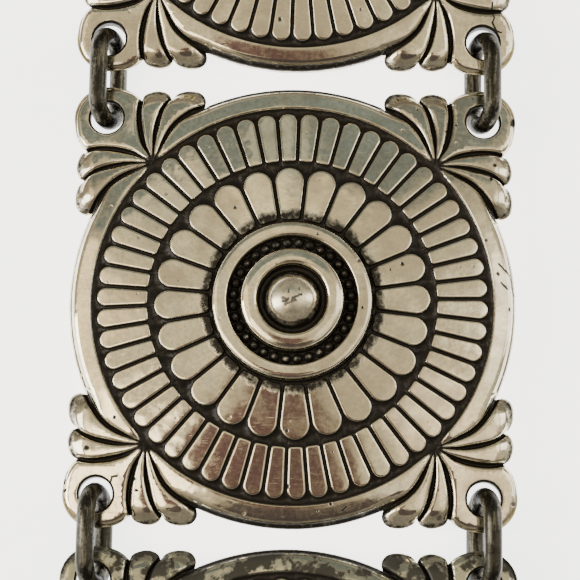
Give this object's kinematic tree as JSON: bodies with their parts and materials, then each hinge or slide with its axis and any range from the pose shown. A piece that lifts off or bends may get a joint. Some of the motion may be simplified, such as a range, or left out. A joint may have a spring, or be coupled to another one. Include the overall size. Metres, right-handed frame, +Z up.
{
  "type": "concho belt",
  "caption": "Link belt of cast metal conchos with petal rings, a stepped boss and pierced corner tabs, joined by pairs of oval wire links, with a flat hook clasp.",
  "frame": {"origin": "on the surface that the belt lies on, under the middle of its box", "axes": "+Y along the belt from the hook clasp to the catch links, +Z up out of the conchos' faces, +X across the belt"},
  "size_m": [0.0648, 0.6982, 0.0117],
  "materials": {
    "cast_silver_tone": "worn polish on the raised faces, blackened patina in the recesses",
    "dark_wire": "oxidised, scratched bright along the strands"
  },
  "bodies": {
    "root": {"clasp_hook": "cast_silver_tone", "concho_01": "cast_silver_tone", "concho_02": "cast_silver_tone", "concho_03": "cast_silver_tone", "concho_04": "cast_silver_tone", "concho_05": "cast_silver_tone", "concho_06": "cast_silver_tone", "concho_07": "cast_silver_tone", "concho_08": "cast_silver_tone", "concho_09": "cast_silver_tone", "concho_10": "cast_silver_tone", "link_clasp_left": "dark_wire", "link_clasp_right": "dark_wire", "link_01_02_left": "dark_wire", "link_01_02_right": "dark_wire", "link_02_03_left": "dark_wire", "link_02_03_right": "dark_wire", "link_03_04_left": "dark_wire", "link_03_04_right": "dark_wire", "link_04_05_left": "dark_wire", "link_04_05_right": "dark_wire", "link_05_06_left": "dark_wire", "link_05_06_right": "dark_wire", "link_06_07_left": "dark_wire", "link_06_07_right": "dark_wire", "link_07_08_left": "dark_wire", "link_07_08_right": "dark_wire", "link_08_09_left": "dark_wire", "link_08_09_right": "dark_wire", "link_09_10_left": "dark_wire", "link_09_10_right": "dark_wire", "link_catch_left": "dark_wire", "link_catch_right": "dark_wire"}
  },
  "joints": []
}
